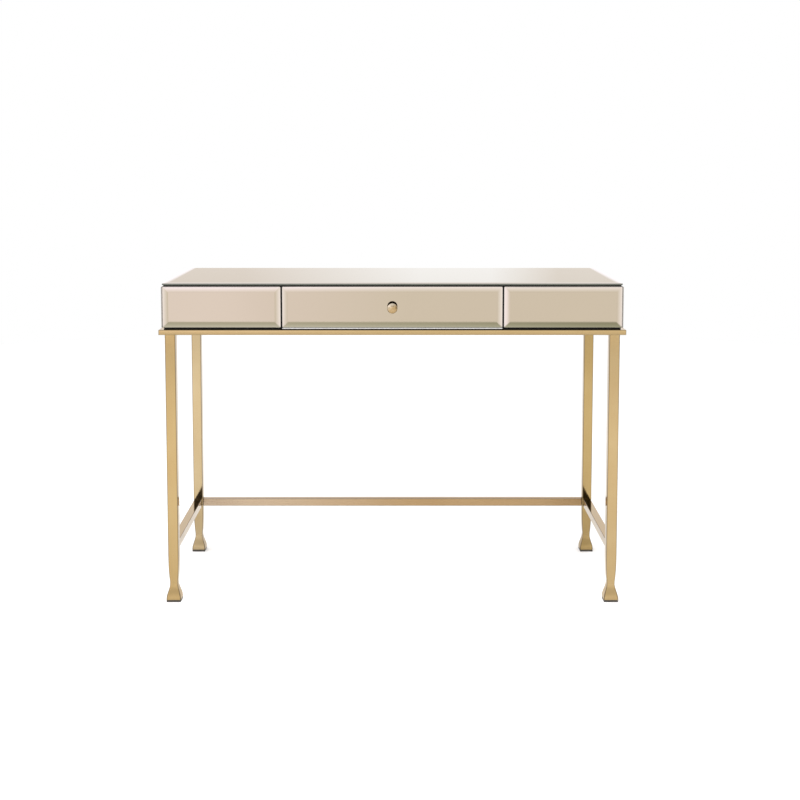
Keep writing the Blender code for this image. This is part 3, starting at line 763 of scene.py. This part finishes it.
def screw_sizes(node):
    """Where a CAD screw's head ends, the way its shank points, and its radii, head height and length."""
    low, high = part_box(node)
    size = high - low
    axis = max(range(3), key=lambda i: size[i])
    mesh = frame["nodes"][node].data
    middle = (low + high) / 2
    ends = {low[axis]: 0.0, high[axis]: 0.0}
    for vertex in mesh.vertices:
        end = low[axis] if vertex.co[axis] < middle[axis] else high[axis]
        ends[end] = max(ends[end], distance_across(vertex, middle, axis))
    head_end = max(ends, key=ends.get)
    head, shank = max(ends.values()), min(ends.values())
    levels = sorted({round(abs(vertex.co[axis] - head_end), 5) for vertex in mesh.vertices})
    height = next(level for level in levels if level > LEAST_HEAD_HEIGHT)
    for vertex in mesh.vertices:
        if distance_across(vertex, middle, axis) > 0.98 * head:
            height = max(height, abs(vertex.co[axis] - head_end))
    way = Vector((0, 0, 0))
    way[axis] = 1.0 if head_end == low[axis] else -1.0
    crown = Vector(middle)
    crown[axis] = head_end
    return crown, way, head, shank, height, size[axis]


def screw_profile(head, shank, height, length):
    """A domed head, then a thread of sharp crests down to a point."""
    dome = []
    for k in range(1, DOME_STEPS + 1):
        angle = k / DOME_STEPS * math.pi / 2
        dome.append((head * math.sin(angle) ** 0.8, height * 0.55 * (1 - math.cos(angle))))
    profile = [(0, 0), *dome, (head, height - 0.0001), (head - 0.0001, height), (shank, height)]
    turns = int((length - height - 2 * shank) / THREAD_PITCH)
    for k in range(turns):
        z = height + shank * 0.6 + k * THREAD_PITCH
        profile.append((shank, z))
        profile.append((THREAD_ROOT * shank, z + THREAD_PITCH / 2))
    return profile + [(shank, length - shank), (0.3 * shank, length), (0, length)]


def make_screw(node, steel):
    """A pan-head screw with a cross recess, in the place of its CAD node."""
    crown, way, head, shank, height, length = screw_sizes(node)
    place = standing(crown, way)
    sides = SCREW_SIDES if head > LARGE_HEAD else SMALL_SCREW_SIDES
    shape = turned(screw_profile(head, shank, height, length), sides, place)
    made = piece(node + "_steel", shape, [steel], node)
    made.data.shade_smooth()
    carve(made, cross_cutter(place, head, height * CROSS_DEPTH))
    made.data.set_sharp_from_angle(angle=math.radians(SCREW_SHARP_ANGLE))
    return made


def dress_cad_nodes(finishes):
    """Gives the CAD nodes that stay visible their materials."""
    for node, obj in frame["nodes"].items():
        if obj.hide_render:
            continue
        for prefix, material in finishes:
            if node.startswith(prefix):
                obj.data.materials.clear()
                obj.data.materials.append(material)
                break
        else:
            raise RuntimeError("no finish for " + node)


# ---------------------------------------------------------------- studio


def make_floor():
    mesh = bpy.data.meshes.new("studio_floor")
    shape = bmesh.new()
    bmesh.ops.create_circle(shape, cap_ends=True, segments=128, radius=FLOOR_RADIUS)
    shape.to_mesh(mesh)
    shape.free()
    made = bpy.data.objects.new("studio_floor", mesh)
    bpy.context.scene.collection.objects.link(made)
    material = new_material("studio_paper")
    graph = Graph(material.node_tree)
    fibre = graph.noise(graph.coordinates(), 40.0, 3.0)
    shader = graph.node("ShaderNodeBsdfDiffuse")
    paper = graph.mix(graph.spread(fibre, 0.0, 1.0), rgb(0.93, 0.93, 0.93), rgb(0.945, 0.945, 0.945))
    graph.set(shader.inputs["Color"], paper)
    graph.finish(shader)
    mesh.materials.append(material)


def card_share(graph, value, low, high):
    """1 between low and high, falling to 0 softly at either."""
    enter = graph.spread(value, 0.0, 1.0, low - CARD_SOFTNESS, low + CARD_SOFTNESS)
    leave = graph.spread(value, 1.0, 0.0, high - CARD_SOFTNESS, high + CARD_SOFTNESS)
    return graph.math("MULTIPLY", enter, leave)


def front_band(graph, x, y, z):
    """In front and at the sides: an even band round the horizon, a little brighter at the left."""
    toward_left = graph.spread(x, 1.0, 0.0, -0.13, 0.01)
    not_beyond = graph.spread(x, 0.0, 1.0, -0.27, -0.18)
    leftward = graph.math("MULTIPLY", toward_left, not_beyond)
    leftward = graph.math("MULTIPLY", leftward, graph.spread(y, 1.0, 0.0, -0.9, -0.8))
    band = graph.mix(leftward, rgb(1.72, 1.69, 1.62), rgb(2.00, 1.94, 2.03))
    band = graph.mix(graph.spread(z, 1.0, 0.0, -0.1343, -0.1323), band, rgb(1.38, 1.34, 1.30))
    outward = graph.spread(graph.math("ABSOLUTE", x), 0.0, 1.0, 0.50, 0.62)
    band = graph.mix(outward, band, rgb(1.24, 1.21, 1.16))
    raised = graph.spread(x, 0.0, 1.0, -0.42, -0.25)
    raised = graph.mix(raised, rgb(1.85, 1.75, 1.85), rgb(1.28, 1.25, 1.20))
    return graph.mix(graph.spread(z, 0.0, 1.0, 0.22, 0.34), band, raised)


def back_wall(graph, x, z):
    """Behind: a warm grey wall with a soft glow just right of the middle."""
    glow = graph.spread(x, 0.0, 1.0, -0.115, 0.02)
    wall = graph.mix(glow, rgb(0.945, 0.870, 0.790), rgb(1.180, 1.180, 1.170))
    wall = graph.mix(graph.spread(x, 0.0, 1.0, 0.075, 0.125), wall, rgb(0.96, 0.900, 0.825))
    aside = graph.spread(graph.math("ABSOLUTE", x), 0.0, 1.0, 0.23, 0.30)
    wall = graph.mix(aside, wall, rgb(1.70, 1.70, 1.80))
    wall = graph.mix(graph.spread(z, 1.0, 0.0, 0.063, 0.078), wall, rgb(1.26, 1.22, 1.26))
    wall = graph.mix(graph.spread(z, 0.0, 1.0, 0.108, 0.168), wall, rgb(1.20, 1.15, 1.11))
    return graph.mix(graph.spread(z, 1.0, 0.0, -0.02, 0.02), wall, rgb(1.25, 1.25, 1.27))


def with_dark_cards(graph, x, y, z, colour):
    """Two small cards beside the camera, and a tall one at the right."""
    card = card_share(graph, graph.math("ABSOLUTE", x), 0.09, 0.23)
    card = graph.math("MULTIPLY", card, card_share(graph, z, 0.218, 0.38))
    card = graph.math("MULTIPLY", card, graph.spread(y, 1.0, 0.0, -0.9, -0.85))
    colour = graph.mix(card, colour, rgb(0.0, 0.0, 0.0))
    tall = graph.math("MULTIPLY", graph.spread(x, 0.0, 1.0, 0.80, 0.84), card_share(graph, z, -0.35, 0.58))
    tall = graph.math("MULTIPLY", tall, card_share(graph, y, -0.54, -0.33))
    return graph.mix(tall, colour, rgb(0.05, 0.04, 0.03))


def make_world():
    """Soft surroundings, given by direction: a band in front, a wall behind, a ceiling, and dark cards."""
    world = bpy.data.worlds.new("studio")
    bpy.context.scene.world = world
    world.use_nodes = True
    world.node_tree.nodes.clear()
    graph = Graph(world.node_tree)
    direction = graph.node("ShaderNodeSeparateXYZ")
    graph.set(direction.inputs[0], graph.node("ShaderNodeTexCoord").outputs["Generated"])
    x, y, z = direction.outputs

    backward = graph.spread(y, 0.0, 1.0, 0.5, 0.8)
    behind = graph.math("MULTIPLY", backward, graph.spread(z, 1.0, 0.0, 0.32, 0.42))
    around = graph.mix(behind, front_band(graph, x, y, z), back_wall(graph, x, z))
    colour = graph.mix(graph.spread(z, 0.0, 1.0, 0.30, 0.75), around, rgb(1.05, 1.05, 1.06))
    colour = with_dark_cards(graph, x, y, z, colour)

    light = graph.node("ShaderNodeBackground", Strength=1.0)
    graph.set(light.inputs["Color"], colour)
    white = graph.node("ShaderNodeBackground", Strength=1.0)
    white.inputs["Color"].default_value = rgb(1.0, 1.0, 1.0)
    seen = graph.node("ShaderNodeLightPath").outputs["Is Camera Ray"]
    both = graph.node("ShaderNodeMixShader")
    graph.tree.links.new(seen, both.inputs[0])
    graph.tree.links.new(light.outputs[0], both.inputs[1])
    graph.tree.links.new(white.outputs[0], both.inputs[2])
    out = graph.node("ShaderNodeOutputWorld")
    graph.tree.links.new(both.outputs[0], out.inputs["Surface"])


def make_softbox(name, place, size, power):
    """An area light that looks straight down and shows in no reflection."""
    data = bpy.data.lights.new(name, "AREA")
    data.shape = "RECTANGLE"
    data.size, data.size_y = size
    data.energy = power
    made = bpy.data.objects.new(name, data)
    made.location = place
    made.rotation_euler = Vector((0, 0, -1)).to_track_quat("-Z", "Y").to_euler()
    made.visible_glossy = False
    made.visible_camera = False
    bpy.context.scene.collection.objects.link(made)


def make_camera():
    data = bpy.data.cameras.new("camera")
    data.sensor_width = 36.0
    data.lens = CAMERA_LENS
    data.shift_x, data.shift_y = CAMERA_SHIFT
    data.clip_end = 60.0
    made = bpy.data.objects.new("camera", data)
    made.location = CAMERA_PLACE
    made.rotation_euler = (math.radians(90.0 - CAMERA_PITCH), 0.0, 0.0)
    bpy.context.scene.collection.objects.link(made)
    bpy.context.scene.camera = made


def make_studio():
    scene = bpy.context.scene
    scene.view_settings.view_transform = "Standard"
    scene.view_settings.look = "None"
    make_floor()
    make_world()
    make_softbox("softbox_over", *SOFTBOX_OVER)
    make_softbox("fill_under", *FILL_UNDER)
    make_camera()


# ---------------------------------------------------------------- the table


def dress_base():
    gold_x = gold_material("gold_plating_lengthwise", (6.0, 500.0, 500.0))
    gold_dull = gold_material(
        "gold_plating_satin", (6.0, 500.0, 500.0), DULL_GOLD, DEEP_DULL_GOLD, SATIN_ROUGHNESS, LEFT_LIGHT_GOLD
    )
    gold_y = gold_material("gold_plating_crosswise", (500.0, 6.0, 500.0), roughness=0.05)
    gold_z = {
        corner: gold_material("gold_plating_" + corner, (500.0, 500.0, 6.0), tone, deep)
        for corner, tone, deep in LEG_GOLDS
    }
    make_base(gold_x, gold_y, gold_z, gold_dull, rubber_material())


def dress_glass():
    face_top = mirror_material("champagne_mirror_top", GLASS_TINT, GLASS_SHADE, 0.030)
    face = mirror_material("champagne_mirror", GLASS_TINT, GLASS_SHADE, 0.025)
    edge = glass_edge_material("polished_glass_edge", *EDGE_TONES)
    # a darker copy of the edge for the top sheet, painted shade
    edge_top = glass_edge_material("polished_glass_edge_top_painted_shade", *TOP_EDGE_SHADED_TONES)
    make_mirrors(face_top, face, bevel_material(), edge_top, edge, glass_back_material())


def dress_fittings():
    bright_steel = steel_material("zinc_screw", (0.55, 0.55, 0.57), 0.26, (300.0, 300.0, 300.0))
    strip = steel_material("bright_edge_strip", (0.56, 0.56, 0.56), 0.18, (8.0, 500.0, 500.0))
    make_knob(knob_material(), knob_shadow_material())
    rounded_bar("drawer_edge_strip", "drawer_edge_strip_bar", strip, STRIP_ROUND, FINE_ROUND_STEPS)
    for node in sorted(frame["nodes"]):
        if "_screw" in node:
            make_screw(node, bright_steel)


def dress_boards_and_runners():
    black = black_board_material("black_painted_board", (0.012, 0.012, 0.011), 0.48, 900.0)
    lacquer = black_board_material("black_lacquered_drawer", (0.022, 0.020, 0.019), 0.34, 500.0)
    dress_cad_nodes([
        ("carcass_", black),
        ("divider_", black),
        ("front_board_", black),
        ("drawer_front_board", black),
        ("drawer_bottom", lining_material()),
        ("drawer_", lacquer),
        ("runner_", steel_material("zinc_runner", (0.62, 0.63, 0.65), 0.24, (500.0, 8.0, 500.0))),
    ])


def make_table():
    dress_base()
    dress_glass()
    dress_fittings()
    dress_boards_and_runners()


make_studio()
make_table()
